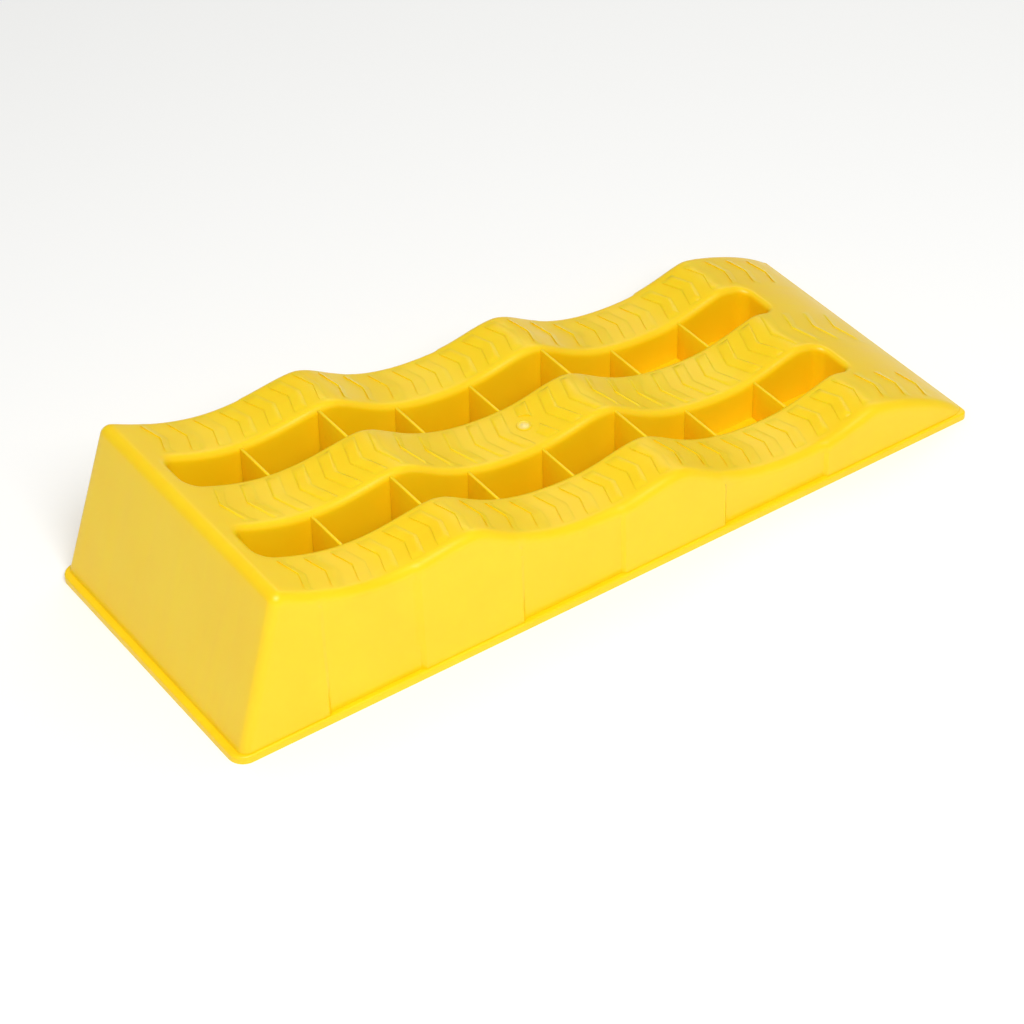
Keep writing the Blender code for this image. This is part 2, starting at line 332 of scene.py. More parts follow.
# %% [markdown]
# ## Triangles between the rims and the slots
# What is left is one surface that is curved along the outline and straight across it, with holes for the
# slots. It is unrolled flat: one coordinate is the distance along the outline, the other runs across. A
# Delaunay triangulation then joins a grid of points and the edges of the holes into even triangles.

# %% Triangulate the unrolled surface
ACROSS = WIDTH / 2  # the unrolled half width
GRID = 0.0062
LIP_ROOM = 0.0016  # grid points keep this far from a lip


def side_edge(z):
    """Half the width of the surface between the rims at a height."""
    return half_width(z) - RIM_ROUND


def unrolled(along, y, z):
    """A point's place on the unrolled surface."""
    return Vector((along, y * ACROSS / side_edge(z)))


def along_tread(x):
    """Distance along the outline of a point on the tread."""
    for i in range(TOE_FOOT):
        (x0, z0), (x1, z1) = OUTLINE[i], OUTLINE[i + 1]
        if z0 > 0 and x0 <= x <= x1 and x1 - x0 > 1e-9 and abs(z1 - z0) < 3 * (x1 - x0):
            return ALONG[i] + (ALONG[i + 1] - ALONG[i]) * (x - x0) / (x1 - x0)
    raise ValueError(x)


def in_slot(x, y, room):
    """Whether a plan point lies within a slot grown by some room."""
    for low_y in (SLOT_INNER, -SLOT_OUTER):
        cx, cy = (SLOT_START + SLOT_END - LENGTH) / 2, low_y + SLOT_WIDTH / 2
        qx = abs(x - cx) - (SLOT_END - SLOT_START) / 2 + SLOT_CORNER
        qy = abs(y - cy) - SLOT_WIDTH / 2 + SLOT_CORNER
        outside = math.hypot(max(qx, 0), max(qy, 0)) + min(max(qx, qy), 0)
        if outside < SLOT_CORNER + room:
            return True
    return False


def unrolled_surface():
    """Points in space and triangles of the surface between the rims."""
    flat, solid, edges = [], [], []

    def add(along, x, y, z):
        flat.append(unrolled(along, y, z))
        solid.append((x, y, z))
        return len(flat) - 1

    rows = list(zip(ALONG, OUTLINE + OUTLINE[:1]))
    count = round(2 * ACROSS / GRID)
    for number, (along, (x, z)) in enumerate(rows):
        base = TOE_FOOT < number < len(OUTLINE)
        for j in range(count + 1):
            y = side_edge(z) * (2 * j / count - 1)
            inner = 0 < j < count
            if inner and (base and (number + j) % 2 or z > 0 and in_slot(x, y, SLOT_LIP + LIP_ROOM)):
                continue
            add(along, x, y, z)
    for plan in SLOT_PLANS:
        indices = [add(along_tread(x), x, y, z) for x, y, z in lip_loop(plan, 0)]
        edges += list(zip(indices, indices[1:] + indices[:1]))
    points, _, faces, origins, _, _ = delaunay_2d_cdt(flat, edges, [], 0, 1e-7)
    places = [solid[o[0]] for o in origins]
    kept = []
    for face in faces:
        x, y, z = (sum(places[v][k] for v in face) / 3 for k in (0, 1, 2))
        if z < 0 or not in_slot(x, y, SLOT_LIP - 1e-5):
            kept.append(tuple(face))
    return places, kept


surface_points, surface_faces = unrolled_surface()
print("surface:", len(surface_points), "points,", len(surface_faces), "triangles")


# %% [markdown]
# ## The solid body
# The pieces of surface are put into one mesh: the triangles between the rims, the rows of both rims, the
# two side faces and the walls of the slots. Points that meet are merged, and then the mesh is closed. A
# closed mesh is what the Boolean cuts that follow need.

# %% Join the surfaces into a closed body
SIDE_GRID = 0.006


def side_grid(rim):
    """Points and triangles of a side face inside its rim, in X and Z."""
    flat = [Vector(p) for p in rim]
    edges = [(i, (i + 1) % len(flat)) for i in range(len(flat))]
    last = math.ceil(LENGTH / 2 / SIDE_GRID)
    columns = [i * SIDE_GRID for i in range(-last, last + 1)]
    for start, end in PANELS:
        for station in (start, end):
            columns += [station - LENGTH / 2 + k * PANEL_EDGE for k in (-0.65, -0.5, 0.5, 0.65)]
    top = [(x, z) for x, z in rim if z > 0]
    for x in columns:
        if not top[0][0] + 0.002 < x < rim[TOE_FOOT][0] - 0.002:
            continue
        roof = min(z for a, z in top if abs(a - x) < 0.004) - 0.0012
        levels = max(1, math.ceil(roof / SIDE_GRID))
        flat += [Vector((x, roof * level / levels)) for level in range(levels + 1)]
    points, _, faces, origins, _, _ = delaunay_2d_cdt(flat, edges, [], 1, 1e-7)
    return [tuple(p) for p in points], [tuple(f) for f in faces]


def add_surface(form, points, faces):
    """Adds points and faces to the mesh being built, leaving out faces with no area."""
    verts = [form.verts.new(p) for p in points]
    for face in faces:
        if len(set(face)) == len(face):
            form.faces.new([verts[i] for i in face])


def add_bands(form, loops):
    """Adds four-sided faces between loops with as many points each, and returns the last row."""
    rows = [[form.verts.new(p) for p in loop] for loop in loops]
    for row, following in zip(rows, rows[1:]):
        for i in range(len(row)):
            j = (i + 1) % len(row)
            form.faces.new((row[i], row[j], following[j], following[i]))
    return rows[-1]


def body_mesh():
    """The closed mesh of the body, before the bead and the pockets."""
    form = bmesh.new()
    add_surface(form, surface_points, surface_faces)
    for side in (1, -1):
        loops = []
        for row in range(RIM_ROWS + 1):
            angle = math.pi / 2 * row / RIM_ROWS
            ring = inset_outline(RIM_ROUND * (1 - math.cos(angle)))
            reach = RIM_ROUND * (1 - math.sin(angle))
            loops.append(
                [
                    (x, side * (half_width(z) - reach - panel_depth(x, z) * math.sin(angle)), z)
                    for x, z in ring
                ]
            )
        add_bands(form, loops)
        points, faces = side_grid(ring)
        placed = [(x, side * (half_width(z) - panel_depth(x, z)), z) for x, z in points]
        add_surface(form, placed, faces)
    for plan in SLOT_PLANS:
        loops = [lip_loop(plan, math.pi / 2 * row / LIP_ROWS) for row in range(LIP_ROWS + 1)]
        loops.append([(x, y, z - 0.003) for x, y, z in loops[-1]])
        loops.append([(x, y, SLOT_FLOOR) for (x, y), _ in plan])
        floor_row = add_bands(form, loops)
        form.faces.new(floor_row)
    bmesh.ops.remove_doubles(form, verts=form.verts, dist=2e-6)
    bmesh.ops.dissolve_degenerate(form, edges=form.edges, dist=1e-6)
    bmesh.ops.recalc_face_normals(form, faces=form.faces)
    open_edges = sum(1 for edge in form.edges if not edge.is_manifold)
    litres = round(form.calc_volume() * 1000, 2)
    print("body:", len(form.faces), "faces, open edges:", open_edges, "litres:", litres)
    mesh = bpy.data.meshes.new("ramp_shell")
    form.to_mesh(mesh)
    form.free()
    return mesh


scene_collection = bpy.context.scene.collection
body = bpy.data.objects.new("ramp_shell", body_mesh())
scene_collection.objects.link(body)


# %% [markdown]
# ## The bead round the foot
# A small flange runs round the foot and stiffens the shell's free edge. It is one flat ring with round
# corners, so a 2D curve with an outer and an inner outline makes it, and the curve's own bevel rounds
# its edges. The ring reaches a little way into the walls, and a Boolean union joins it to them.

# %% Make the foot's bead
def from_curve(name, outlines, low, high, upright, edge=0.0):
    """Closed solid from flat outlines: plan outlines rise in Z, upright ones run in Y."""
    curve = bpy.data.curves.new(name, "CURVE")
    curve.dimensions = "2D"
    curve.fill_mode = "BOTH"
    curve.extrude = (high - low) / 2 - edge
    curve.bevel_depth, curve.bevel_resolution, curve.offset = edge, 3, -edge
    for outline in outlines:
        spline = curve.splines.new("POLY")
        spline.points.add(len(outline) - 1)
        spline.use_cyclic_u = True
        for point, (u, v) in zip(spline.points, outline):
            point.co = (u, v, 0, 1)
    guide = bpy.data.objects.new(name, curve)
    scene_collection.objects.link(guide)
    mesh = bpy.data.meshes.new_from_object(guide.evaluated_get(bpy.context.evaluated_depsgraph_get()))
    bpy.data.objects.remove(guide, do_unlink=True)
    middle = (low + high) / 2
    for vertex in mesh.vertices:
        x, y, z = vertex.co
        vertex.co = (x, middle - z, y) if upright else (x, y, z + middle)
    form = bmesh.new()
    form.from_mesh(mesh)
    bmesh.ops.remove_doubles(form, verts=form.verts, dist=1e-6)
    bmesh.ops.recalc_face_normals(form, faces=form.faces)
    form.to_mesh(mesh)
    form.free()
    solid = bpy.data.objects.new(name, mesh)
    scene_collection.objects.link(solid)
    return solid


def rounded_rectangle(x0, x1, y0, y1, head_radius, toe_radius, steps=10):
    """Plan outline whose corners have one radius at the high end and one at the low end."""
    quarter = math.pi / 2
    corners = ((x1, y0, -1, 1), (x1, y1, -1, -1), (x0, y1, 1, -1), (x0, y0, 1, 1))
    loop = []
    for turn, (x, y, way_x, way_y) in enumerate(corners):
        radius = toe_radius if way_x < 0 else head_radius
        centre = (x + way_x * radius, y + way_y * radius)
        loop += arc(centre, radius, (turn - 1) * quarter, turn * quarter, steps)
    return loop


BEAD_DEPTH = 0.0054  # how far in from its outer edge the ring reaches along the sides
BEAD_HEAD = 0.0074  # and at the high end
BEAD_TOE = 0.012  # and at the low end
BEAD_BELOW = 0.008  # how far the ring starts below the ground, until it is trimmed
half_l, half_w = LENGTH / 2, WIDTH / 2
outer_edge = rounded_rectangle(-half_l, half_l, -half_w, half_w, HEAD_CORNER, TOE_CORNER)
inner_edge = rounded_rectangle(
    -half_l + BEAD_HEAD, half_l - BEAD_TOE, -half_w + BEAD_DEPTH, half_w - BEAD_DEPTH,
    HEAD_CORNER - BEAD_DEPTH, TOE_CORNER,
)
bead = from_curve(
    "foot_bead", [outer_edge, inner_edge], -BEAD_BELOW, FLANGE_HEIGHT, upright=False, edge=FLANGE_EDGE
)
print("bead faces:", len(bead.data.polygons))


# %% [markdown]
# ## The hollow underside
# Underneath, the shell is hollow: thin ribs stand between the outer walls and the slot walls and divide
# it into pockets. Each pocket is a prism whose roof follows the tread from below, so the tread keeps one
# thickness. The pockets of a lane are one solid, and lane by lane they are cut out of the body.

# %% Make the pockets of five lanes
LOWEST_POCKET = 0.006  # a pocket is at least this high at its low end


def rib_stations():
    """Stations of the cross ribs, centred along the slots."""
    middle = (SLOT_START + SLOT_END) / 2
    return [middle + RIB_PITCH * (i - (RIBS - 1) / 2) for i in range(RIBS)]


def pocket(start, end):
    """Side view of a pocket between two stations."""
    x0, x1 = start - LENGTH / 2, end - LENGTH / 2
    roof = [(x, z - TREAD_THICKNESS) for x, z in TREAD if x0 + 0.001 < x < x1 - 0.001]
    first, last = (x0, tread_height(x0) - TREAD_THICKNESS), (x1, tread_height(x1) - TREAD_THICKNESS)
    return [(x0, -2 * BELOW), first, *roof, last, (x1, -2 * BELOW)]


def head_pocket(end):
    """Side view of the pocket behind the sloping end wall."""
    chamfer = 0.007
    roof_z = tread_height(end_wall(HEIGHT) + chamfer) - TREAD_THICKNESS
    wall_z = roof_z - chamfer
    roof_x = end_wall(wall_z) + WALL + chamfer
    return [
        (end_wall(-2 * BELOW) + WALL, -2 * BELOW),
        (end_wall(wall_z) + WALL, wall_z),
        (roof_x, tread_height(roof_x) - TREAD_THICKNESS),
        (end - LENGTH / 2, tread_height(end - LENGTH / 2) - TREAD_THICKNESS),
        (end - LENGTH / 2, -2 * BELOW),
    ]


def last_hollow():
    """Station near the low end where the body gets too thin to be hollow."""
    station = LENGTH - TOE_WALL
    while tread_height(station - LENGTH / 2) - TREAD_THICKNESS < LOWEST_POCKET:
        station -= 0.001
    return station


def pocket_lanes():
    """The pockets as five solids. Those in line with the slots only have the two end pockets."""
    ends = [head_pocket(SLOT_START - WALL), pocket(SLOT_END + WALL, last_hollow())]
    walls = [SLOT_START - RIB / 2, *rib_stations(), SLOT_END + RIB / 2]
    between = [pocket(a + RIB / 2, b - RIB / 2) for a, b in zip(walls, walls[1:])]
    reach = half_width(0) - WALL
    inner = SLOT_INNER - WALL
    lanes = [from_curve("lane_middle", ends + between, -inner, inner, upright=True)]
    for side, tag in ((1, "left"), (-1, "right")):
        low, high = sorted((side * (SLOT_OUTER + WALL), side * reach))
        lane = from_curve("lane_" + tag, ends + between, low, high, upright=True)
        for vertex in lane.data.vertices:
            if abs(vertex.co.y) > reach - 0.001:
                vertex.co.y = side * (half_width(vertex.co.z) - WALL)
        low, high = sorted((side * SLOT_INNER, side * SLOT_OUTER))
        lanes += [lane, from_curve("lane_slot_" + tag, ends, low, high, upright=True)]
    return lanes


lanes = pocket_lanes()
print("lanes:", [lane.name for lane in lanes])


# %% [markdown]
# ## Boolean steps
# A union joins the bead, differences cut the lanes, and a slab cuts everything off level with the
# ground. The cutters are removed afterwards, and the result is kept as a plain mesh.

# %% Join the bead, cut the lanes and trim at the ground
def apply_modifiers(solid):
    """Turns an object's live modifiers into its plain mesh."""
    evaluated = solid.evaluated_get(bpy.context.evaluated_depsgraph_get())
    mesh = bpy.data.meshes.new_from_object(evaluated)
    solid.modifiers.clear()
    solid.data = mesh


def boolean(target, tool, operation):
    """Joins a tool to an object or cuts it out, and removes the tool."""
    cut = target.modifiers.new(tool.name, "BOOLEAN")
    cut.operation, cut.object, cut.solver = operation, tool, "EXACT"
    apply_modifiers(target)
    bpy.data.objects.remove(tool, do_unlink=True)


slab_outline = rounded_rectangle(-LENGTH, LENGTH, -WIDTH, WIDTH, 0.01, 0.01)
slab = from_curve("ground_slab", [slab_outline], -0.1, 0.0, upright=False)
boolean(body, bead, "UNION")
for lane in lanes:
    boolean(body, lane, "DIFFERENCE")
boolean(body, slab, "DIFFERENCE")

form = bmesh.new()
form.from_mesh(body.data)
bmesh.ops.triangulate(form, faces=form.faces)
open_edges = sum(1 for edge in form.edges if not edge.is_manifold)
print("shell:", len(form.faces), "triangles, open edges:", open_edges)
print("plastic (ml):", round(form.calc_volume() * 1e6))
form.free()


# %% [markdown]
# ## A builder for node trees
# Materials and Geometry Nodes are both trees of nodes. One small helper adds a node, sets what it is
# given and links its inputs, so that each line below reads like one step of a recipe. A value that comes
# from another node is passed as that node's output socket, or as the node when its first output is meant.

# %% Helper for nodes
def add_node(tree, kind, inputs=None, **settings):
    """Adds a node, sets its properties, and fills inputs by name or number with values or links.

    A node given as a value stands for its first output.
    """
    node = tree.nodes.new(kind)
    for name, value in settings.items():
        setattr(node, name, value)
    for key, value in (inputs or {}).items():
        if isinstance(value, bpy.types.Node):
            value = value.outputs[0]
        socket = node.inputs[key]
        if isinstance(value, bpy.types.NodeSocket):
            tree.links.new(value, socket)
        else:
            socket.default_value = value
    return node


def linear(hex_colour):
    """sRGB hex colour as linear RGBA."""
    channels = [int(hex_colour[i:i + 2], 16) / 255 for i in (1, 3, 5)]
    return (*[c / 12.92 if c <= 0.04045 else ((c + 0.055) / 1.055) ** 2.4 for c in channels], 1.0)


# %% [markdown]
# ## Injection-moulded polyethylene
# High-density polyethylene is waxy: it has a soft gloss, an IOR near 1.5, and light gets a few millimetres
# into it, which fills shadows with a warm, deeper yellow. The pigment isn't spread quite evenly: faint
# clouds and streaks follow the way the melt flowed along the mould. The surface shows orange peel of a
# millimetre or so, and long shallow waves where the wall shrank while it cooled. Round the gate, where
# the plastic flowed in, a painted highlight lightens the colour: a pale glint painted round the cut stub.

# %% Yellow polyethylene material
CLOUD_SIZE = 0.045  # patches with more or less pigment
PEEL_SIZE = 0.0016  # orange peel
WAVE_SIZE = 0.028  # waves where the wall shrank


def moulded_polyethylene():
    """The plastic. In a colour mix, inputs 6 and 7 are the two colours and output 2 is the result."""
    material = bpy.data.materials.new("injection_moulded_polyethylene_yellow")
    material.use_nodes = True
    tree = material.node_tree
    tree.nodes.clear()
    where = add_node(tree, "ShaderNodeTexCoord").outputs["Object"]

    clouds = add_node(
        tree, "ShaderNodeTexNoise",
        {"Vector": where, "Scale": 1 / CLOUD_SIZE, "Detail": 3.0, "Roughness": 0.55},
    )
    flow_space = add_node(tree, "ShaderNodeMapping", {"Vector": where, "Scale": (6.0, 30.0, 1.2)})
    flow = add_node(
        tree, "ShaderNodeTexNoise",
        {"Vector": flow_space, "Scale": 3.5, "Detail": 4.0, "Roughness": 0.6, "Distortion": 0.6},
    )
    pigment = add_node(
        tree, "ShaderNodeMix", {0: flow, 6: linear("#FCCC06"), 7: linear("#FFD50E")}, data_type="RGBA"
    )
    cloud_share = add_node(
        tree, "ShaderNodeMapRange",
        {"Value": clouds, "From Min": 0.35, "From Max": 0.7, "To Min": 0.0, "To Max": 0.45},
    )
    colour = add_node(
        tree, "ShaderNodeMix",
        {0: cloud_share, 6: pigment.outputs[2], 7: linear("#FFDA18")}, data_type="RGBA",
    )
    gate_point = (GATE_X, 0.0, tread_height(GATE_X))
    from_gate = add_node(
        tree, "ShaderNodeVectorMath", {0: where, 1: gate_point}, operation="DISTANCE"
    ).outputs["Value"]
    # Painted highlight: the colour turns pale near the gate, a glint on the stub painted into the plastic.
    painted_glint_share = add_node(
        tree, "ShaderNodeMapRange",
        {"Value": from_gate, "From Min": 0.0004, "From Max": 0.0052, "To Min": 0.5, "To Max": 0.0},
        interpolation_type="SMOOTHERSTEP",
    )
    colour_with_painted_glint = add_node(
        tree, "ShaderNodeMix",
        {0: painted_glint_share, 6: colour.outputs[2], 7: linear("#FFF3C4")}, data_type="RGBA",
    )
    gloss = add_node(
        tree, "ShaderNodeMapRange",
        {"Value": flow, "From Min": 0.3, "From Max": 0.7, "To Min": 0.30, "To Max": 0.40},
    )
    peel = add_node(tree, "ShaderNodeTexNoise", {"Vector": where, "Scale": 1 / PEEL_SIZE, "Detail": 2.0})
    waves = add_node(tree, "ShaderNodeTexNoise", {"Vector": where, "Scale": 1 / WAVE_SIZE, "Detail": 1.0})
    shrinkage = add_node(tree, "ShaderNodeBump", {"Strength": 0.35, "Distance": 0.0006, "Height": waves})
    relief = add_node(
        tree, "ShaderNodeBump",
        {"Strength": 0.22, "Distance": 0.00006, "Height": peel, "Normal": shrinkage},
    )
    shader = add_node(
        tree, "ShaderNodeBsdfPrincipled",
        {
            "Base Color": colour_with_painted_glint.outputs[2], "Roughness": gloss, "IOR": 1.52, "Normal": relief,
            "Specular IOR Level": 0.38, "Subsurface Weight": 0.35,
            "Subsurface Radius": (1.0, 0.55, 0.08), "Subsurface Scale": 0.004,
        },
    )
    add_node(tree, "ShaderNodeOutputMaterial", {"Surface": shader})
    print("material:", material.name, "with", len(tree.nodes), "nodes")
    return material


PLASTIC = moulded_polyethylene()


SHARP_ANGLE = math.radians(34)


def finish_piece(piece):
    """Gives a piece the plastic, smooth faces, and sharp edges where faces meet at more than an angle."""
    piece.data.materials.clear()
    piece.data.materials.append(PLASTIC)
    piece.data.shade_smooth()
    piece.data.set_sharp_from_angle(angle=SHARP_ANGLE)


finish_piece(body)


# %% [markdown]
# ## Anti-slip bars
# Low V-shaped bars cross every tread strip so that a wet tyre finds grip. They repeat at one pitch along
# the ramp and they follow the tread, so Geometry Nodes suit them. One bar starts as a flat grid that is
# sheared into a V; it is repeated along a line, every point is dropped to just above the tread's underside
# with a raycast, and the grid is extruded twice: up to the tread, and then up to a low crown that is steep
# at the front and runs out gently at the back and the ends.

# %% Geometry Nodes tree for the bars
def sized_inputs(tree, names):
    for name, kind in names:
        tree.interface.new_socket(name, in_out="INPUT", socket_type=kind)
    tree.interface.new_socket("Geometry", in_out="OUTPUT", socket_type="NodeSocketGeometry")
    return add_node(tree, "NodeGroupInput").outputs


def on_tread(tree, surface, x, y):
    """Height of the tread above a plan point, found by casting a ray downwards."""
    above = add_node(tree, "ShaderNodeCombineXYZ", {"X": x, "Y": y, "Z": 0.3})
    target = add_node(tree, "GeometryNodeObjectInfo", {"Object": surface}, transform_space="RELATIVE")
    ray = add_node(
        tree, "GeometryNodeRaycast",
        {
            "Target Geometry": target.outputs["Geometry"], "Source Position": above,
            "Ray Direction": (0.0, 0.0, -1.0), "Ray Length": 1.0,
        },
    )
    return add_node(tree, "ShaderNodeSeparateXYZ", {0: ray.outputs["Hit Position"]}).outputs["Z"]


def copies_in_line(tree, given, shape, y):
    """Real copies of a shape at the tree's pitch, from its first X, along a line at one Y."""
    start = add_node(tree, "ShaderNodeCombineXYZ", {"X": given["First X"], "Y": y})
    step = add_node(tree, "ShaderNodeCombineXYZ", {"X": given["Pitch"]})
    line = add_node(
        tree, "GeometryNodeMeshLine", {"Count": given["Count"], "Start Location": start, "Offset": step}
    )
    copies = add_node(tree, "GeometryNodeInstanceOnPoints", {"Points": line, "Instance": shape})
    return add_node(tree, "GeometryNodeRealizeInstances", {"Geometry": copies})


def sheared_grid(tree, given):
    """A flat grid bent into a V, whose points remember their shares across and outward."""
    span = add_node(tree, "ShaderNodeMath", {0: given["Half Span"], 1: 2.0}, operation="MULTIPLY")
    marked = add_node(
        tree, "GeometryNodeMeshGrid",
        {"Size X": given["Width"], "Size Y": span, "Vertices X": 5, "Vertices Y": 13},
    )
    position = add_node(tree, "GeometryNodeInputPosition")
    local = add_node(tree, "ShaderNodeSeparateXYZ", {0: position})
    across = add_node(
        tree, "ShaderNodeMath", {0: local.outputs["X"], 1: given["Width"]}, operation="DIVIDE"
    )
    outward = add_node(
        tree, "ShaderNodeMath", {0: local.outputs["Y"], 1: given["Half Span"]}, operation="DIVIDE"
    )
    for name, share in (("across", across), ("outward", outward)):
        marked = add_node(
            tree, "GeometryNodeStoreNamedAttribute",
            {"Geometry": marked, "Name": name, "Value": share}, data_type="FLOAT", domain="POINT",
        )
    from_tip = add_node(tree, "ShaderNodeMath", {0: outward}, operation="ABSOLUTE")
    inward = add_node(tree, "ShaderNodeMath", {0: 1.0, 1: from_tip}, operation="SUBTRACT")
    swept = add_node(tree, "ShaderNodeMath", {0: inward, 1: given["Sweep"]}, operation="MULTIPLY")
    shear = add_node(tree, "ShaderNodeCombineXYZ", {"X": swept})
    return add_node(tree, "GeometryNodeSetPosition", {"Geometry": marked, "Offset": shear})


def crown_pull(tree, given):
    """How far each point of a bar's crown moves in, so that the bar's sides slope."""
    across = add_node(tree, "GeometryNodeInputNamedAttribute", {"Name": "across"}, data_type="FLOAT")
    outward = add_node(tree, "GeometryNodeInputNamedAttribute", {"Name": "outward"}, data_type="FLOAT")
    from_front = add_node(tree, "ShaderNodeMath", {0: across, 1: 0.5}, operation="ADD")
    slopes = add_node(
        tree, "ShaderNodeMath", {0: given["Front Slope"], 1: given["Back Slope"]}, operation="ADD"
    )
    share = add_node(tree, "ShaderNodeMath", {0: slopes, 1: from_front}, operation="MULTIPLY")
    pull_x = add_node(tree, "ShaderNodeMath", {0: given["Front Slope"], 1: share}, operation="SUBTRACT")
    back = add_node(tree, "ShaderNodeMath", {0: given["End Slope"], 1: -1.0}, operation="MULTIPLY")
    pull_y = add_node(tree, "ShaderNodeMath", {0: outward, 1: back}, operation="MULTIPLY")
    return add_node(tree, "ShaderNodeCombineXYZ", {"X": pull_x, "Y": pull_y})


def bar_tree():
    """The tree that lays one strip's bars on the tread."""
    tree = bpy.data.node_groups.new("anti_slip_bars", "GeometryNodeTree")
    given = sized_inputs(
        tree,
        [
            ("Surface", "NodeSocketObject"), ("Count", "NodeSocketInt"), ("Pitch", "NodeSocketFloat"),
            ("First X", "NodeSocketFloat"), ("Strip Y", "NodeSocketFloat"),
            ("Width", "NodeSocketFloat"), ("Half Span", "NodeSocketFloat"),
            ("Sweep", "NodeSocketFloat"), ("Height", "NodeSocketFloat"), ("Sink", "NodeSocketFloat"),
            ("Front Slope", "NodeSocketFloat"), ("Back Slope", "NodeSocketFloat"),
            ("End Slope", "NodeSocketFloat"), ("Plastic", "NodeSocketMaterial"),
        ],
    )
    real = copies_in_line(tree, given, sheared_grid(tree, given), given["Strip Y"])

    position = add_node(tree, "GeometryNodeInputPosition")
    place = add_node(tree, "ShaderNodeSeparateXYZ", {0: position})
    tread = on_tread(tree, given["Surface"], place.outputs["X"], place.outputs["Y"])
    low = add_node(tree, "ShaderNodeMath", {0: tread, 1: given["Sink"]}, operation="SUBTRACT")
    dropped = add_node(
        tree, "ShaderNodeCombineXYZ", {"X": place.outputs["X"], "Y": place.outputs["Y"], "Z": low}
    )
    laid = add_node(tree, "GeometryNodeSetPosition", {"Geometry": real, "Position": dropped})

    to_surface = add_node(tree, "ShaderNodeCombineXYZ", {"Z": given["Sink"]})
    root = add_node(
        tree, "GeometryNodeExtrudeMesh", {"Mesh": laid, "Offset": to_surface, "Individual": False}
    )
    proud = add_node(tree, "ShaderNodeCombineXYZ", {"Z": given["Height"]})
    raised = add_node(
        tree, "GeometryNodeExtrudeMesh",
        {"Mesh": root, "Selection": root.outputs["Top"], "Offset": proud, "Individual": False},
    )
    sloped = add_node(
        tree, "GeometryNodeSetPosition",
        {"Geometry": raised, "Selection": raised.outputs["Top"], "Offset": crown_pull(tree, given)},
    )
    base = add_node(tree, "GeometryNodeFlipFaces", {"Mesh": laid})
    both = add_node(tree, "GeometryNodeJoinGeometry")
    tree.links.new(sloped.outputs[0], both.inputs[0])
    tree.links.new(base.outputs[0], both.inputs[0])
    closed = add_node(tree, "GeometryNodeMergeByDistance", {"Geometry": both, "Distance": 0.00001})
    coated = add_node(
        tree, "GeometryNodeSetMaterial", {"Geometry": closed, "Material": given["Plastic"]}
    )
    add_node(tree, "NodeGroupOutput", {"Geometry": coated})
    return tree


def grow(name, tree, values):
    """Runs a Geometry Nodes tree with named inputs and keeps its result as a plain mesh."""
    piece = bpy.data.objects.new(name, bpy.data.meshes.new(name))
    scene_collection.objects.link(piece)
    growth = piece.modifiers.new("growth", "NODES")
    growth.node_group = tree
    for item in tree.interface.items_tree:
        if item.item_type == "SOCKET" and item.in_out == "INPUT":
            growth[item.identifier] = values[item.name]
    apply_modifiers(piece)
    print(name + ":", len(piece.data.polygons), "faces")
    return piece


# %% [markdown]
# The outer strips point their bars downhill and the middle strip points them uphill, so that together
# they read as one zigzag across the ramp.

# %% Lay bars on the three strips
BAR_PITCH = 0.0172
BARS = 27
FIRST_BAR = 0.0571 - LENGTH / 2  # leading edge at the ends of an outer bar, and at the tip of a middle one
BAR_WIDTH = 0.0086
BAR_HEIGHT = 0.0006
OUTER_STRIP_Y = 0.074

BAR_TREE = bar_tree()
shared = {
    "Surface": body, "Count": BARS, "Pitch": BAR_PITCH, "Width": BAR_WIDTH, "Height": BAR_HEIGHT,
    "Sink": 0.0026, "Front Slope": 0.0004, "Back Slope": 0.0022, "End Slope": 0.0030, "Plastic": PLASTIC,
}
bars = []
for name, strip_y, half_span, sweep, lead in (
    ("tread_bars_left", OUTER_STRIP_Y, 0.0155, 0.0046, 0.0),
    ("tread_bars_right", -OUTER_STRIP_Y, 0.0155, 0.0046, 0.0),
    ("tread_bars_middle", 0.0, 0.0180, -0.0060, 0.0060),
):
    values = {
        **shared, "First X": FIRST_BAR + lead + BAR_WIDTH / 2, "Strip Y": strip_y,
        "Half Span": half_span, "Sweep": sweep,
    }
    bars.append(grow(name, BAR_TREE, values))


# %% [markdown]
# ## The gate mark
# Molten plastic entered the mould at the middle of the ramp. A round patch without bars surrounds the
# place, with a thin ring and the stub that was cut off. The patch is cut out of the bars with a Boolean,
# and the ring and stub are a profile turned about an upright axis.

# %% Clear the patch and turn the gate mark
PATCH_RADIUS = 0.0095
patch_outline = arc((GATE_X, 0), PATCH_RADIUS, 0, 2 * math.pi, 48)[:-1]
patch = from_curve("gate_patch", [patch_outline], 0.0, HEIGHT, upright=False)
middle_bars = bars[2]
boolean(middle_bars, patch, "DIFFERENCE")

# radius and height, from the top of the stub over the ring and down into the tread
GATE_PROFILE = (
    (0.0, 0.0011), (0.0006, 0.0010), (0.0012, 0.0007), (0.0016, 0.0002), (0.0019, 0.0001),
    (0.0034, 0.0001), (0.0038, 0.0006), (0.0042, 0.0007), (0.0046, 0.0005), (0.0049, -0.0001),
    (0.0049, -0.0012), (0.0, -0.0012),
)


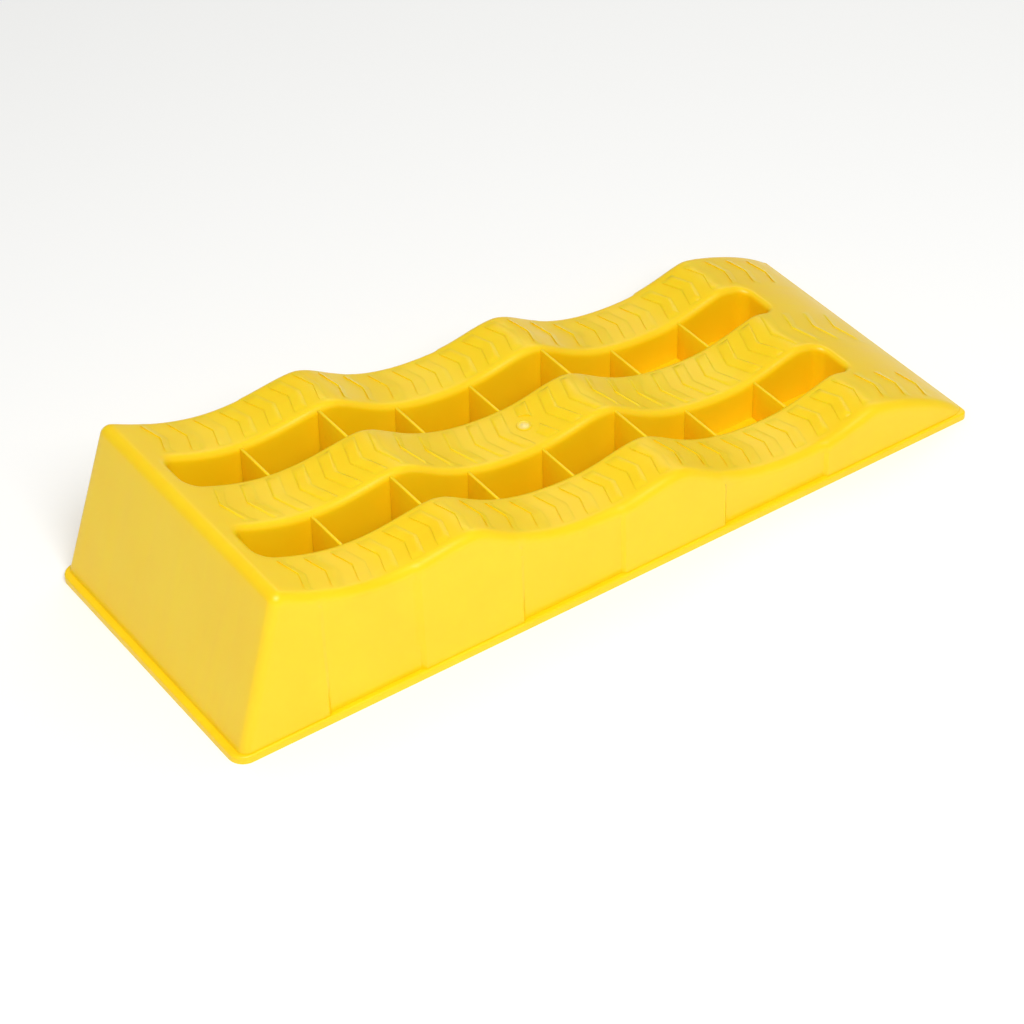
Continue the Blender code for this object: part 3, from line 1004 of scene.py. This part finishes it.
def turned_mark(name, centre, tilt, profile, sides=40):
    """Closed solid turned from a (radius, height) profile, tilted to lie on the tread."""
    form = bmesh.new()
    rows = []
    for radius, height in profile:
        if radius == 0:
            rows.append([form.verts.new((0, 0, height))])
            continue
        angles = [2 * math.pi * i / sides for i in range(sides)]
        rows.append([form.verts.new((radius * math.cos(a), radius * math.sin(a), height)) for a in angles])
    for row, following in zip(rows, rows[1:]):
        for i in range(sides):
            j = (i + 1) % sides
            corners = [row[i % len(row)], row[j % len(row)]]
            corners += [following[j % len(following)], following[i % len(following)]]
            form.faces.new(list(dict.fromkeys(corners)))
    for vertex in form.verts:
        vertex.co.z += vertex.co.x * tilt
        vertex.co += Vector(centre)
    bmesh.ops.recalc_face_normals(form, faces=form.faces)
    mesh = bpy.data.meshes.new(name)
    form.to_mesh(mesh)
    form.free()
    mark = bpy.data.objects.new(name, mesh)
    scene_collection.objects.link(mark)
    return mark


half_step = 0.002
slope = (tread_height(GATE_X + half_step) - tread_height(GATE_X - half_step)) / (2 * half_step)
gate = turned_mark("gate_mark", (GATE_X, 0, tread_height(GATE_X)), slope, GATE_PROFILE)
print("gate mark faces:", len(gate.data.polygons), "tilt:", round(slope, 3))


# %% [markdown]
# ## Ribs across the slots
# Thin upright ribs tie the slot walls together. They stand at one pitch, and the top of each lies about
# two millimetres under the tread beside it. A Geometry Nodes tree places a thin block at each point of a
# line, finds the tread's height with a raycast and moves the block's upper corners to it.

# %% Geometry Nodes tree for the ribs
def nearest_rib(tree, given, x):
    """X of the rib that a point belongs to, so that both its faces get one height."""
    offset = add_node(tree, "ShaderNodeMath", {0: x, 1: given["First X"]}, operation="SUBTRACT")
    pitches = add_node(tree, "ShaderNodeMath", {0: offset, 1: given["Pitch"]}, operation="DIVIDE")
    number = add_node(tree, "ShaderNodeMath", {0: pitches}, operation="ROUND")
    back = add_node(tree, "ShaderNodeMath", {0: number, 1: given["Pitch"]}, operation="MULTIPLY")
    return add_node(tree, "ShaderNodeMath", {0: back, 1: given["First X"]}, operation="ADD")


def rib_tree():
    """The tree that stands one slot's ribs between its walls."""
    tree = bpy.data.node_groups.new("slot_ribs", "GeometryNodeTree")
    given = sized_inputs(
        tree,
        [
            ("Surface", "NodeSocketObject"), ("Count", "NodeSocketInt"), ("Pitch", "NodeSocketFloat"),
            ("First X", "NodeSocketFloat"), ("Slot Y", "NodeSocketFloat"),
            ("Thickness", "NodeSocketFloat"), ("Span", "NodeSocketFloat"),
            ("Drop", "NodeSocketFloat"), ("Plastic", "NodeSocketMaterial"),
        ],
    )
    size = add_node(
        tree, "ShaderNodeCombineXYZ", {"X": given["Thickness"], "Y": given["Span"], "Z": 1.0}
    )
    block = add_node(tree, "GeometryNodeMeshCube", {"Size": size})
    real = copies_in_line(tree, given, block, given["Slot Y"])

    position = add_node(tree, "GeometryNodeInputPosition")
    place = add_node(tree, "ShaderNodeSeparateXYZ", {0: position})
    upper = add_node(tree, "ShaderNodeMath", {0: place.outputs["Z"], 1: 0.0}, operation="GREATER_THAN")
    tread = on_tread(tree, given["Surface"], nearest_rib(tree, given, place.outputs["X"]), 0.0)
    top = add_node(tree, "ShaderNodeMath", {0: tread, 1: given["Drop"]}, operation="SUBTRACT")
    height = add_node(tree, "ShaderNodeMath", {0: upper, 1: top}, operation="MULTIPLY")
    level = add_node(
        tree, "ShaderNodeCombineXYZ", {"X": place.outputs["X"], "Y": place.outputs["Y"], "Z": height}
    )
    fitted = add_node(tree, "GeometryNodeSetPosition", {"Geometry": real, "Position": level})
    coated = add_node(
        tree, "GeometryNodeSetMaterial", {"Geometry": fitted, "Material": given["Plastic"]}
    )
    add_node(tree, "NodeGroupOutput", {"Geometry": coated})
    return tree


RIB_REACH = 0.0012  # how far a rib goes into each wall
RIB_TREE = rib_tree()
ribs = []
for name, side in (("slot_ribs_left", 1), ("slot_ribs_right", -1)):
    ribs.append(
        grow(
            name, RIB_TREE,
            {
                "Surface": body, "Count": RIBS, "Pitch": RIB_PITCH, "First X": rib_stations()[0] - LENGTH / 2,
                "Slot Y": side * (SLOT_INNER + SLOT_WIDTH / 2), "Thickness": RIB,
                "Span": SLOT_WIDTH + 2 * RIB_REACH, "Drop": RIB_DROP, "Plastic": PLASTIC,
            },
        )
    )


# %% [markdown]
# ## Soft edges on the small pieces
# No moulded edge is perfectly sharp. A Bevel modifier takes a few tenths of a millimetre off the bars and
# the ribs, so that every edge catches a fine highlight.

# %% Bevel the bars and ribs
def soften(piece, width, segments):
    """Bevels a piece's edges and keeps the result as its plain mesh."""
    edge = piece.modifiers.new("moulded_edge", "BEVEL")
    edge.limit_method, edge.angle_limit = "ANGLE", math.radians(30)
    edge.width, edge.segments = width, segments
    apply_modifiers(piece)


for piece in ribs:
    soften(piece, 0.0006, 2)
for piece in bars:
    soften(piece, 0.00022, 1)
small_pieces = [*bars, *ribs, gate]
for piece in small_pieces:
    finish_piece(piece)
    print(piece.name, len(piece.data.polygons), "faces")


# %% [markdown]
# ## Join the pieces to the frame
# The ramp has no moving parts, so everything rides on the one body of the imported model. The detailed
# shell takes the place of the CAD solid.

# %% Ride and replace
for piece in (body, *small_pieces):
    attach(piece, "root")
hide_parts("ramp_body")


# %% [markdown]
# ## Floor and light
# A sheet of white acrylic, faintly lit from below, runs to the horizon, so that shadows on it stay pale.
# One broad, soft lamp hangs high on the near side and lights the tread, the near wall and the slots. A
# weak one behind gives the tread its sheen, and an even surround stands for a studio's white walls.

# %% Floor, lamps and surround
floor_mesh = bpy.data.meshes.new("floor")
reach = 12.0
corners = [(-reach, -reach, 0), (reach, -reach, 0), (reach, reach, 0), (-reach, reach, 0)]
floor_mesh.from_pydata(corners, [], [(0, 1, 2, 3)])
floor = bpy.data.objects.new("floor", floor_mesh)
scene_collection.objects.link(floor)
acrylic = bpy.data.materials.new("matt_white_acrylic")
acrylic.use_nodes = True
acrylic_shader = acrylic.node_tree.nodes["Principled BSDF"]
acrylic_shader.inputs["Base Color"].default_value = linear("#F4F4F2")
acrylic_shader.inputs["Roughness"].default_value = 0.9
acrylic_shader.inputs["Specular IOR Level"].default_value = 0.1
acrylic_shader.inputs["Emission Color"].default_value = (1, 1, 1, 1)
acrylic_shader.inputs["Emission Strength"].default_value = 0.13
floor_mesh.materials.append(acrylic)


def softbox(name, place, size, watts):
    """A rectangular white area lamp that faces the middle of the ramp's foot."""
    data = bpy.data.lights.new(name, "AREA")
    data.shape, data.size, data.size_y = "RECTANGLE", size[0], size[1]
    data.energy = watts
    lamp = bpy.data.objects.new(name, data)
    lamp.location = place
    lamp.rotation_euler = (-Vector(place)).to_track_quat("-Z", "Y").to_euler()
    scene_collection.objects.link(lamp)


softbox("key_softbox", (-0.51, -1.15, 1.80), (1.4, 1.2), 39)
softbox("back_softbox", (1.62, 1.12, 1.54), (1.6, 1.2), 7)

world = bpy.data.worlds.new("white_studio")
bpy.context.scene.world = world
world.use_nodes = True
surround = world.node_tree.nodes["Background"]
surround.inputs["Color"].default_value = (1, 1, 1, 1)
surround.inputs["Strength"].default_value = 0.35
bpy.context.scene.view_settings.view_transform = "Standard"


# %% [markdown]
# ## Camera
# The camera looks down along the ramp from the near side of its high end, with a long lens, as in a
# catalogue. Azimuth 0 would look along +Y; the roll is a slight tilt of the camera about its own axis.

# %% Camera
AZIMUTH, ELEVATION, ROLL = math.radians(-34.617), math.radians(39.615), math.radians(-1.008)
DISTANCE = 1.84865
AIM = Vector((0.22145 - LENGTH / 2, -0.04854, 0.040))
backward = Vector(
    (math.sin(AZIMUTH) * math.cos(ELEVATION), -math.cos(AZIMUTH) * math.cos(ELEVATION), math.sin(ELEVATION))
)
lens = bpy.data.cameras.new("catalogue_camera")
lens.lens, lens.sensor_width = 111.9, 36.0
camera = bpy.data.objects.new("catalogue_camera", lens)
camera.matrix_world = backward.to_track_quat("Z", "Y").to_matrix().to_4x4()
camera.location = AIM + backward * DISTANCE
camera.rotation_euler.rotate_axis("Z", ROLL)
scene_collection.objects.link(camera)
bpy.context.scene.camera = camera
